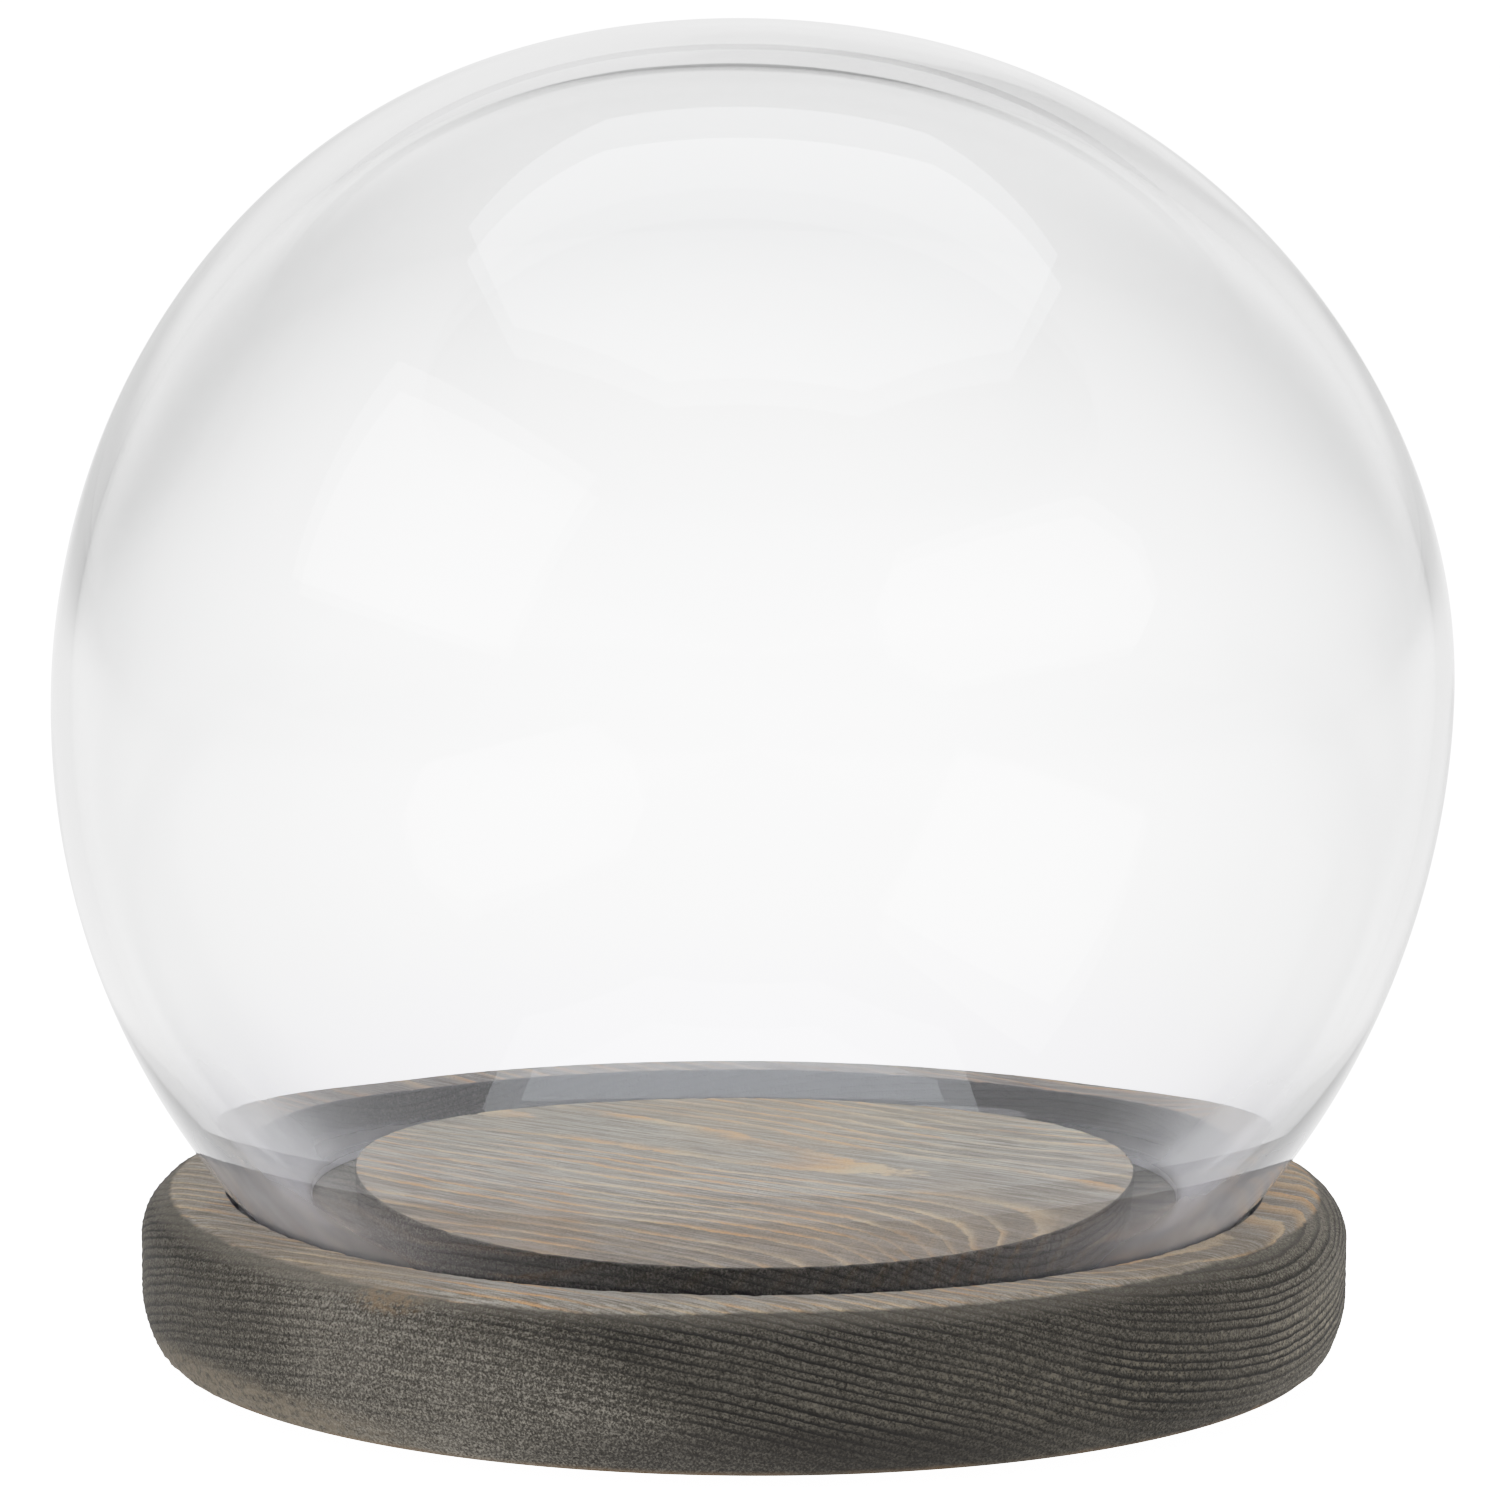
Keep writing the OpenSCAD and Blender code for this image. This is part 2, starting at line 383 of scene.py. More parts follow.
# ---------------------------------------------------------------- node helpers
class Nodes:
    def __init__(self, tree):
        self.t = tree

    def new(self, kind, **settings):
        n = self.t.nodes.new(kind)
        for k, v in settings.items():
            setattr(n, k, v)
        return n

    def put(self, socket, value):
        if isinstance(value, bpy.types.NodeSocket):
            self.t.links.new(value, socket)
        elif value is not None:
            socket.default_value = value

    def math(self, op, a, b=None, c=None, clamp=False):
        n = self.new("ShaderNodeMath", operation=op, use_clamp=clamp)
        for i, v in enumerate((a, b, c)):
            if v is not None:
                self.put(n.inputs[i], v)
        return n.outputs[0]

    def range(self, v, a, b, c=0.0, d=1.0, kind="SMOOTHSTEP"):
        n = self.new("ShaderNodeMapRange", interpolation_type=kind)
        self.put(n.inputs["Value"], v)
        for k, x in (("From Min", a), ("From Max", b), ("To Min", c), ("To Max", d)):
            self.put(n.inputs[k], x)
        return n.outputs[0]

    def noise(self, vec, scale, detail=2.0, rough=0.5, distort=0.0, kind="FBM"):
        n = self.new("ShaderNodeTexNoise", noise_type=kind)
        self.put(n.inputs["Vector"], vec)
        n.inputs["Scale"].default_value = scale
        n.inputs["Detail"].default_value = detail
        n.inputs["Roughness"].default_value = rough
        n.inputs["Distortion"].default_value = distort
        return n.outputs["Fac"]

    def mix(self, f, a, b, blend="MIX"):
        n = self.new("ShaderNodeMix", data_type="RGBA", blend_type=blend)
        self.put(n.inputs[0], f)
        self.put(n.inputs[6], a)
        self.put(n.inputs[7], b)
        return n.outputs[2]

    def mapping(self, vec, scale=(1, 1, 1), rot=(0, 0, 0), loc=(0, 0, 0)):
        n = self.new("ShaderNodeMapping")
        self.put(n.inputs["Vector"], vec)
        n.inputs["Scale"].default_value = scale
        n.inputs["Rotation"].default_value = rot
        n.inputs["Location"].default_value = loc
        return n.outputs[0]


def lin(r, g, b):
    """sRGB 0 to 255 to linear RGBA."""
    def f(c):
        c /= 255.0
        return c / 12.92 if c <= 0.04045 else ((c + 0.055) / 1.055) ** 2.4
    return (f(r), f(g), f(b), 1.0)


def material(name):
    m = bpy.data.materials.new(name)
    m.use_nodes = True
    m.node_tree.nodes.clear()
    k = Nodes(m.node_tree)
    out = k.new("ShaderNodeOutputMaterial")
    p = k.new("ShaderNodeBsdfPrincipled")
    k.t.links.new(p.outputs[0], out.inputs["Surface"])
    return m, k, p


def glass_material():
    m, k, p = material("blown_clear_glass")
    co = k.new("ShaderNodeTexCoord").outputs["Object"]
    cloud = k.noise(co, 9.0, 3.0, 0.55)
    tint = k.mix(k.range(cloud, 0.3, 0.7), (0.988, 0.992, 0.992, 1), (0.996, 0.998, 0.997, 1))
    high = k.new("ShaderNodeSeparateXYZ")
    k.put(high.inputs[0], co)
    low = k.range(high.outputs[2], (TOP_Z + 4.0) * MM, (TOP_Z + 30.0) * MM, 1.0, 0.0)
    k.put(p.inputs["Base Color"], k.mix(low, tint, (0.960, 0.950, 1.0, 1)))
    # a thin white bloom on the neck, strongest where the wall is seen edge on: partly haze on the glass, partly painted
    # light standing in for light carried down the wall and the bright floor seen in the neck
    edge = k.new("ShaderNodeLayerWeight")
    edge.inputs["Blend"].default_value = 0.5
    streak = k.noise(k.mapping(co, (1.0, 1.0, 0.35)), 45.0, 3.0, 0.55, 0.4)
    neck_haze_and_glow = k.math("MULTIPLY", k.range(edge.outputs["Facing"], 0.34, 0.92, 0.0, 0.80), low)
    neck_haze_and_glow = k.math("MULTIPLY", neck_haze_and_glow, k.range(streak, 0.30, 0.70, 0.70, 1.10))
    k.put(p.inputs["Transmission Weight"], k.math("SUBTRACT", 1.0, neck_haze_and_glow))
    p.inputs["IOR"].default_value = 1.50
    # a trace of handling haze, everywhere well below what blurs a reflection
    haze = k.noise(co, 30.0, 5.0, 0.6, 0.3)
    clean = k.range(haze, 0.50, 0.85, 0.0, 0.008)
    # the rim was ground flat and only lightly polished, so it glows where light reaches it through the wall
    uneven = k.math("MULTIPLY", k.math("SUBTRACT", k.noise(co, 160.0, 3.0, 0.6), 0.5), 0.0012)
    ground = k.range(k.math("ADD", high.outputs[2], uneven), (RIM_Z + 1.6) * MM, (RIM_Z + 2.8) * MM, 0.55, 0.0)
    k.put(p.inputs["Roughness"], k.math("MAXIMUM", clean, ground))
    # faint ripples left by the blowing
    rip = k.noise(k.mapping(co, (1.0, 1.0, 0.45)), 24.0, 1.5, 0.45)
    # draw marks that run down the left shoulder
    mark = k.noise(k.mapping(co, (1.0, 1.0, 0.10), (0.0, 0.25, 0.0)), 150.0, 2.0, 0.5, 0.2)
    where = k.new("ShaderNodeVectorMath", operation="LENGTH")
    k.put(where.inputs[0], k.mapping(co, (1 / 0.060, 1 / 0.070, 1 / 0.060), (0, 0, 0), (0.080 / 0.060, 0.030 / 0.070, -0.160 / 0.060)))
    rip = k.math("ADD", rip, k.math("MULTIPLY", mark, k.range(where.outputs["Value"], 0.3, 1.0, 0.10, 0.0)))
    b = k.new("ShaderNodeBump")
    b.inputs["Strength"].default_value = 0.10
    b.inputs["Distance"].default_value = 0.0006
    k.put(b.inputs["Height"], rip)
    k.put(p.inputs["Normal"], b.outputs[0])
    return m


def wood_material(cad=False):
    m, k, p = material("stained_softwood" + ("_cad" if cad else ""))
    co = k.new("ShaderNodeTexCoord").outputs["Object"]
    geo = k.new("ShaderNodeNewGeometry")
    sep = k.new("ShaderNodeSeparateXYZ")
    k.put(sep.inputs[0], geo.outputs["Normal"])
    if cad:
        zed = k.new("ShaderNodeSeparateXYZ")
        k.put(zed.inputs[0], co)
        ring = k.math("MULTIPLY", zed.outputs[2], 1000.0)
        up = sep.outputs[2]
    else:
        ring = k.new("ShaderNodeAttribute", attribute_name="ring").outputs["Fac"]
        up = k.new("ShaderNodeAttribute", attribute_name="face_up").outputs["Fac"]
    grain = k.mapping(co, (1, 1, 1), (0, 0, -PHI))          # x runs along the fibres
    # ---- patterns
    jag = k.noise(co, 700.0, 3.0, 0.6)
    jag2 = k.noise(co, 150.0, 2.0, 0.5)
    g = k.math("ADD", ring, k.math("MULTIPLY", k.math("SUBTRACT", jag, 0.5), 0.34))
    g = k.math("ADD", g, k.math("MULTIPLY", k.math("SUBTRACT", jag2, 0.5), 0.55))
    f = k.math("FRACT", k.math("ADD", k.math("MULTIPLY", g, -1.0 / RING), PHASE + 40.0))
    rise = k.range(f, 0.50, 0.92)
    fall = k.range(f, 0.93, 1.0, 1.0, 0.0, "LINEAR")
    late = k.math("MULTIPLY", k.math("POWER", rise, 1.5), fall)
    late_thin = k.math("MULTIPLY", k.math("POWER", k.range(f, 0.40, 0.88), 1.35), fall)
    # which rings are strong and which are faint
    strong = k.range(k.noise(k.mapping(co, (1, 1, 2.2)), 34.0, 2.0, 0.5), 0.36, 0.60, 0.35, 1.0)
    grit = k.noise(co, 4300.0, 2.0, 0.6)
    fleck = k.noise(co, 1700.0, 2.0, 0.6)
    fleck_big = k.noise(k.mapping(grain, (0.6, 1.0, 0.7)), 1250.0, 2.0, 0.6)
    fibre = k.noise(k.mapping(grain, (0.05, 1.0, 1.0)), 2100.0, 3.0, 0.65)
    fibre_wide = k.noise(k.mapping(grain, (0.05, 1.0, 1.0)), 420.0, 2.0, 0.55)
    cloud = k.noise(co, 26.0, 4.0, 0.55)
    cloud2 = k.noise(k.mapping(co, (1, 1, 1.6), (0, 0, 0), (0.3, 0.1, 0.2)), 60.0, 3.0, 0.6)
    place = k.new("ShaderNodeSeparateXYZ")
    k.put(place.inputs[0], co)
    # pale marks the lighter left front of the side: partly a paler stain, partly painted sheen where the left soft box
    # grazes the side grain
    drift = k.math("MULTIPLY", k.math("SUBTRACT", cloud, 0.5), 0.06)
    slant = k.math("ADD", place.outputs[0], k.math("ADD", drift, k.math("MULTIPLY_ADD", place.outputs[2], 2.2, -0.0264)))
    pale = k.math("MULTIPLY", k.range(slant, -0.038, 0.004, 1.0, 0.0), k.range(place.outputs[0], -0.088, -0.056, 0.28, 1.0))
    # painted light: far marks the far right of the side, lightened where the side of the room lights it
    far = k.range(place.outputs[0], 0.066, 0.090)
    mid_grit = k.noise(co, 2600.0, 2.5, 0.65)
    # ---- sanded top: grey ground, tan late wood
    top_ground = k.mix(k.range(fibre, 0.30, 0.70), lin(118, 110, 99), lin(193, 187, 176))
    top_ground = k.mix(k.range(cloud, 0.42, 0.66, 0.0, 0.5), top_ground, lin(168, 152, 132))
    top_ground = k.mix(k.range(fibre_wide, 0.42, 0.72, 0.0, 0.50), top_ground, lin(116, 109, 99))
    tan = k.mix(k.range(cloud2, 0.40, 0.62), lin(212, 188, 153), lin(216, 166, 114))
    # at the far right of the ring the layers lie nearly level, so that the late wood shows as broad tan bars
    bars = k.math("MULTIPLY", k.math("MULTIPLY", k.range(f, 0.30, 0.70), fall), k.range(place.outputs[0], 0.058, 0.080))
    bars = k.math("MULTIPLY", bars, k.range(place.outputs[1], -0.045, -0.030))
    top_ground = k.mix(k.math("MULTIPLY", bars, 0.55), top_ground, lin(206, 168, 126))
    # the front of the plateau is darker and browner
    brown = k.math("MULTIPLY", k.range(place.outputs[1], -0.074, -0.060), k.range(place.outputs[1], -0.048, -0.012, 1.0, 0.0))
    top_ground = k.mix(k.math("MULTIPLY", brown, 0.34), top_ground, lin(130, 114, 96))
    top = k.mix(k.math("MULTIPLY", late, k.math("MULTIPLY", strong, 0.90)), top_ground, tan)
    top = k.mix(k.range(grit, 0.50, 0.68, 0.0, 0.40), top, lin(84, 78, 70))
    top = k.mix(k.range(mid_grit, 0.52, 0.66, 0.0, 0.34), top, lin(92, 85, 76))
    top = k.mix(k.range(grit, 0.32, 0.46, 0.30, 0.0), top, lin(186, 178, 164))
    # ---- stained side: dark ground with pale grit, darker late wood
    side_ground = k.mix(k.range(cloud, 0.36, 0.64), lin(68, 65, 59), lin(97, 93, 86))
    side_ground = k.mix(k.range(fibre, 0.46, 0.70, 0.0, 0.55), side_ground, lin(52, 48, 42))
    side_ground = k.mix(k.range(fibre, 0.26, 0.44, 0.42, 0.0), side_ground, lin(126, 120, 108))
    side_ground = k.mix(k.range(grit, 0.50, 0.66, 0.0, 0.50), side_ground, lin(131, 126, 117))
    side_ground = k.mix(k.range(grit, 0.32, 0.48, 0.50, 0.0), side_ground, lin(42, 39, 34))
    side_ground = k.mix(k.range(mid_grit, 0.50, 0.62, 0.0, 0.55), side_ground, lin(147, 142, 133))
    side_ground = k.mix(k.range(mid_grit, 0.36, 0.48, 0.62, 0.0), side_ground, lin(36, 33, 29))
    # on the right front the early wood between the lines is pale: partly crust, partly painted highlight on the raised
    # edges
    right = k.math("MULTIPLY", k.range(place.outputs[0], -0.005, 0.030), k.math("MULTIPLY", k.range(place.outputs[2], 0.0065, 0.0100), k.range(place.outputs[2], 0.0150, 0.0215, 1.0, 0.0)))
    crust_and_highlight = k.math("MULTIPLY", k.range(fleck_big, 0.48, 0.60), k.range(f, 0.42, 0.58, 1.0, 0.0, "LINEAR"))
    crust_and_highlight = k.math("MULTIPLY", crust_and_highlight, k.math("MULTIPLY", right, k.range(cloud2, 0.36, 0.56, 0.15, 0.65)))
    side_ground = k.mix(crust_and_highlight, side_ground, lin(150, 143, 129))
    # the lines are plain on the right and nearly lost on the pale left front, where the paler stain and the painted
    # sheen lighten the side
    show = k.math("MULTIPLY", k.math("MULTIPLY_ADD", strong, 0.52, 0.46), k.math("SUBTRACT", 1.0, k.math("MULTIPLY", pale, 0.55)))
    show = k.math("MULTIPLY", show, k.range(place.outputs[2], 0.0035, 0.0095, 0.40, 1.0))
    side = k.mix(k.math("MULTIPLY", late_thin, show), side_ground, lin(24, 21, 18))
    pore = k.math("MULTIPLY", k.range(fleck, 0.62, 0.70), 0.75)
    side = k.mix(pore, side, lin(30, 27, 23))
    # the side is lightened on the pale left front, by paler stain and painted sheen, and on the far right by painted
    # light
    gain = k.math("ADD", k.math("ADD", 0.66, k.math("MULTIPLY", pale, 1.05)), k.math("MULTIPLY", far, 0.75))
    grey = k.new("ShaderNodeCombineColor")
    # the rest of the side, outside the pale left front, stays darker: partly stain, partly painted shade, and a little
    # browner
    stain_and_shade = k.math("SUBTRACT", 1.0, pale)  # the dark part is a little browner
    for i, warm in enumerate((0.0, -0.015, -0.055)):
        k.put(grey.inputs[i], k.math("MULTIPLY", gain, k.math("MULTIPLY_ADD", stain_and_shade, warm, 1.0)))
    side = k.mix(1.0, side, grey.outputs[0], "MULTIPLY")
    xyz = k.new("ShaderNodeSeparateXYZ")
    k.put(xyz.inputs[0], co)

    def spot(cx, cy, cz, rx, ry, rz):
        v = k.mapping(co, (1 / rx, 1 / ry, 1 / rz), (0, 0, 0), (-cx / rx, -cy / ry, -cz / rz))
        ln = k.new("ShaderNodeVectorMath", operation="LENGTH")
        k.put(ln.inputs[0], v)
        return k.range(ln.outputs["Value"], 0.35, 1.0, 1.0, 0.0)

    # ---- where the top was sanded back through the stain; it went further over the edge at the left front
    wob = k.math("MULTIPLY", k.math("SUBTRACT", k.noise(co, 520.0, 3.0, 0.6), 0.5), 0.08)
    wob = k.math("ADD", wob, k.math("MULTIPLY", k.math("SUBTRACT", cloud2, 0.5), 0.05))
    wob = k.math("ADD", wob, k.math("MULTIPLY", spot(-0.034, -0.082, 0.0250, 0.046, 0.030, 0.0080), 0.085))
    is_top = k.range(k.math("ADD", up, wob), 0.885, 0.940)
    # the shoulder is lighter where it turns up, most on the pale left front: partly sanded through the stain, partly
    # painted highlight from the light above
    side = k.mix(k.math("MULTIPLY", k.range(up, 0.52, 0.86), k.math("ADD", 0.34, k.math("MULTIPLY", pale, 0.42))), side, lin(132, 125, 114))
    colour = k.mix(is_top, side, top)
    # ---- painted light: the outer wall of the groove is painted a paler bluish slate, standing in for the glass's haze seen over the dark wood
    r2 = k.math("ADD", k.math("MULTIPLY", place.outputs[0], place.outputs[0]), k.math("MULTIPLY", place.outputs[1], place.outputs[1]))
    groove_wall_painted_haze = k.math("MULTIPLY", k.range(r2, ((GROOVE_R - 1.5) * MM) ** 2, ((GROOVE_R - 0.7) * MM) ** 2),
                   k.range(r2, ((GROOVE_R + 0.15) * MM) ** 2, ((GROOVE_R + 0.4) * MM) ** 2, 1.0, 0.0))
    groove_wall_painted_haze = k.math("MULTIPLY", groove_wall_painted_haze, k.range(place.outputs[2], (TOP_Z - GROOVE_H - 2) * MM, (TOP_Z - GROOVE_H - 1) * MM))
    colour = k.mix(k.math("MULTIPLY", groove_wall_painted_haze, 0.50), colour, lin(108, 110, 114))
    # ---- rubbed places: upper front edge and lower left edge
    rub_up = k.math("MULTIPLY", spot(-0.0535, -0.0775, 0.0246, 0.0085, 0.0085, 0.0026), k.range(fleck_big, 0.34, 0.58))
    colour = k.mix(k.math("MULTIPLY", rub_up, 0.50), colour, lin(158, 134, 106))
    rub_low = k.math("MULTIPLY", spot(-0.080, -0.050, 0.0035, 0.052, 0.052, 0.0062), k.range(fleck_big, 0.30, 0.62, 0.2, 1.0))
    colour = k.mix(k.math("MULTIPLY", rub_low, 0.68), colour, lin(156, 144, 126))
    # painted shade: a darker patch low on the front of the side
    shade_low = spot(0.008, -0.093, 0.0045, 0.052, 0.052, 0.0075)
    colour = k.mix(k.math("MULTIPLY", shade_low, 0.52), colour, lin(40, 37, 36))
    # thin warm line where stain is worn through on the lower arris
    arris = k.math("MULTIPLY", k.range(xyz.outputs[2], 0.0015, 0.0028, 1.0, 0.0), k.range(cloud2, 0.35, 0.6, 0.2, 0.8))
    colour = k.mix(k.math("MULTIPLY", arris, 0.55), colour, lin(160, 128, 92))
    k.put(p.inputs["Base Color"], colour)
    rough = k.math("ADD", k.range(fleck, 0.2, 0.8, 0.66, 0.86), k.math("MULTIPLY", late, -0.10))
    k.put(p.inputs["Roughness"], rough)
    p.inputs["Specular IOR Level"].default_value = 0.30
    # ---- fine relief
    h = k.math("ADD", k.math("MULTIPLY", fleck, 0.45), k.math("MULTIPLY", grit, 0.4))
    h = k.math("ADD", h, k.math("MULTIPLY", mid_grit, k.math("MULTIPLY", k.math("SUBTRACT", 1.0, is_top), 0.9)))
    h = k.math("ADD", h, k.math("MULTIPLY", fleck_big, k.math("MULTIPLY", k.math("SUBTRACT", 1.0, is_top), 0.7)))
    h = k.math("ADD", h, k.math("MULTIPLY", fibre, 0.5))
    h = k.math("ADD", h, k.math("MULTIPLY", late, 0.5))
    b = k.new("ShaderNodeBump")
    b.inputs["Strength"].default_value = 0.75
    b.inputs["Distance"].default_value = 0.00022
    k.put(b.inputs["Height"], h)
    k.put(p.inputs["Normal"], b.outputs[0])
    return m


def felt_material():
    m, k, p = material("black_felt")
    co = k.new("ShaderNodeTexCoord").outputs["Object"]
    a = k.noise(co, 1500.0, 4.0, 0.7, 1.2)
    b = k.noise(k.mapping(co, (1, 0.2, 1), (0, 0, 0.6)), 2400.0, 3.0, 0.6, 2.0)
    c = k.noise(k.mapping(co, (0.2, 1, 1), (0, 0, -0.4)), 2400.0, 3.0, 0.6, 2.0)
    v = k.math("MAXIMUM", k.range(b, 0.45, 0.75), k.range(c, 0.45, 0.75))
    col = k.mix(k.range(a, 0.3, 0.7), lin(26, 25, 24), lin(52, 50, 47))
    col = k.mix(k.math("MULTIPLY", v, 0.5), col, lin(88, 85, 80))
    k.put(p.inputs["Base Color"], col)
    p.inputs["Roughness"].default_value = 0.95
    p.inputs["Sheen Weight"].default_value = 0.35
    p.inputs["Sheen Roughness"].default_value = 0.5
    bump = k.new("ShaderNodeBump")
    bump.inputs["Strength"].default_value = 0.9
    bump.inputs["Distance"].default_value = 0.0002
    k.put(bump.inputs["Height"], k.math("ADD", a, v))
    k.put(p.inputs["Normal"], bump.outputs[0])
    return m


GLASS, WOOD, WOOD_CAD, FELT = glass_material(), wood_material(), wood_material(True), felt_material()
for node, mat in (("glass_dome", GLASS), ("wood_base", WOOD_CAD)):
    o = frame["nodes"][node]
    o.data.materials.clear()
    o.data.materials.append(mat)

globe = make_glass()
globe.data.materials.append(GLASS)
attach(globe, "dome")
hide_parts("glass_dome")

base = make_wood()
base.data.materials.append(WOOD)
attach(base, "base")
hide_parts("wood_base")

for node in [n for n in frame["nodes"] if n.startswith("foot_pad_")]:
    o = frame["nodes"][node]
    o.data.materials.clear()
    o.data.materials.append(FELT)
    pad = make_pad(node)
    pad.data.materials.append(FELT)
    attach(pad, "base")
    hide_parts(node)

# ---------------------------------------------------------------- camera, at the photograph's angle
cam_data = bpy.data.cameras.new("photo_camera")
cam = bpy.data.objects.new("photo_camera", cam_data)
scene.collection.objects.link(cam)
scene.camera = cam
cam_data.sensor_width = 36.0
cam_data.sensor_fit = "HORIZONTAL"
cam_data.lens = 8360.93 / 1500.0 * 36.0
cam_data.clip_start, cam_data.clip_end = 0.05, 100.0
cam.matrix_world = (Matrix.Translation((0, -1.300, 0.29804 + PAD_H * MM))
                    @ Euler((math.radians(90 - 8.8901), 0, math.radians(-0.0211))).to_matrix().to_4x4()
                    @ Matrix.Rotation(math.radians(0.351), 4, "Z"))
# the camera steps back as the globe is lifted, so that it stays in the picture; at rest this does nothing
step = cam.constraints.new("TRANSFORM")
step.target = frame["bodies"]["dome"]
step.map_from = "LOCATION"
step.from_min_z, step.from_max_z = 0.0, 0.24
step.map_to = "LOCATION"
step.map_to_x_from, step.map_to_y_from, step.map_to_z_from = "Z", "Z", "Z"
step.to_min_y, step.to_max_y = 0.0, -1.50
step.to_min_z, step.to_max_z = 0.0, 0.358
step.mix_mode = "ADD"
step.target_space = "WORLD"
step.owner_space = "WORLD"

# ---------------------------------------------------------------- stage: floor, soft boxes and surround
rig = bpy.data.objects.new("light_rig", None)
scene.collection.objects.link(rig)
turn = rig.constraints.new("COPY_ROTATION")  # the studio turns with the camera, as if the object stood on a turntable
turn.target = cam
turn.use_x = turn.use_y = False
turn.euler_order = "XYZ"


LIT = 0.85   # how strongly the studio lights the matt pieces, against how bright it looks in the glass


def seen_in_glass(k):
    """1 for rays that show the studio itself, straight or in the glass; 0 for the light that falls on the pieces."""
    lp = k.new("ShaderNodeLightPath")
    a = k.math("MAXIMUM", lp.outputs["Is Camera Ray"], k.math("MAXIMUM", lp.outputs["Is Glossy Ray"], lp.outputs["Is Transmission Ray"]))
    return k.math("MULTIPLY", a, k.math("LESS_THAN", lp.outputs["Diffuse Depth"], 0.5)), lp


def sweep(k, u, right, left):
    """What is left of the light towards the corners of the backdrop; u is the tangent of the sideways angle."""
    a = k.math("MULTIPLY", k.math("MULTIPLY", k.range(u, 0.055, 0.16), right), -0.34)
    b = k.math("MULTIPLY", k.math("MULTIPLY", k.range(u, -0.16, -0.055, 1.0, 0.0), left), -0.42)
    return k.math("ADD", 1.0, k.math("ADD", a, b))


def floor():
    n, r = 96, 30.0
    rings = [0.0] + [0.12 * 1.22 ** i for i in range(29)]
    rings = [q for q in rings if q < r] + [r]
    pts, rows, faces = lathe([(q / MM, 0.0) for q in rings], n)
    ob = mesh_object("studio_floor", pts, faces)
    m, k, p = material("pale_floor")
    tc = k.new("ShaderNodeTexCoord", object=rig)
    co = tc.outputs["Object"]
    v = k.noise(co, 6.0, 3.0, 0.5)
    k.put(p.inputs["Base Color"], k.mix(k.range(v, 0.3, 0.7), (0.90, 0.90, 0.90, 1), (0.93, 0.93, 0.93, 1)))
    p.inputs["Roughness"].default_value = 0.75
    p.inputs["Specular IOR Level"].default_value = 0.15
    # seen straight on, the paper is matt, catches a soft shadow and glows a little from below
    glow = k.new("ShaderNodeEmission")
    glow.inputs["Strength"].default_value = 2.9
    paper = k.new("ShaderNodeAddShader")
    k.t.links.new(p.outputs[0], paper.inputs[0])
    k.t.links.new(glow.outputs[0], paper.inputs[1])
    # in the glass, and as light on the pieces, it is brightest behind the object and falls off to the sides and the front
    sep = k.new("ShaderNodeSeparateXYZ")
    k.put(sep.inputs[0], co)
    depth = k.math("MAXIMUM", k.math("ADD", sep.outputs[1], 1.3), 0.2)
    u = k.math("DIVIDE", sep.outputs[0], depth)
    w = k.math("SUBTRACT", 0.1566, k.math("DIVIDE", 0.2995, depth))
    r2 = k.math("ADD", k.math("MULTIPLY", u, u), k.math("MULTIPLY", w, w))
    spot_light = k.math("EXPONENT", k.math("MULTIPLY", r2, -100.0))
    behind = k.math("ADD", 1.30, k.math("MULTIPLY", spot_light, 1.15))
    behind = k.math("MULTIPLY", behind, k.range(k.math("ABSOLUTE", u), 0.30, 0.75, 1.0, 0.35))
    # towards the far corners, where the sweep begins to turn up, it is dimmer
    behind = k.math("MULTIPLY", behind, sweep(k, u, k.range(w, 0.03, 0.09), k.range(w, 0.02, 0.08)))
    near = k.range(k.math("ABSOLUTE", sep.outputs[0]), 0.10, 0.40, FLOOR_FRONT, FLOOR_SIDE)
    near = k.math("MULTIPLY", near, k.range(k.math("ABSOLUTE", sep.outputs[0]), 0.6, 1.6, 1.0, 0.5))
    back = k.range(sep.outputs[1], -0.06, 0.16)
    bright = k.math("ADD", near, k.math("MULTIPLY", back, k.math("SUBTRACT", behind, near)))
    look, lp = seen_in_glass(k)
    em = k.new("ShaderNodeEmission")
    k.put(em.inputs["Strength"], k.math("MULTIPLY", bright, k.range(look, 0.0, 1.0, LIT, 1.0, "LINEAR")))
    mixer = k.new("ShaderNodeMixShader")
    k.put(mixer.inputs[0], lp.outputs["Is Camera Ray"])
    k.t.links.new(em.outputs[0], mixer.inputs[1])
    k.t.links.new(paper.outputs[0], mixer.inputs[2])
    out = [n_ for n_ in m.node_tree.nodes if n_.type == "OUTPUT_MATERIAL"][0]
    k.t.links.new(mixer.outputs[0], out.inputs["Surface"])
    ob.data.materials.append(m)
    return ob


FLOOR_FRONT, FLOOR_SIDE = 0.9, 1.7
floor()


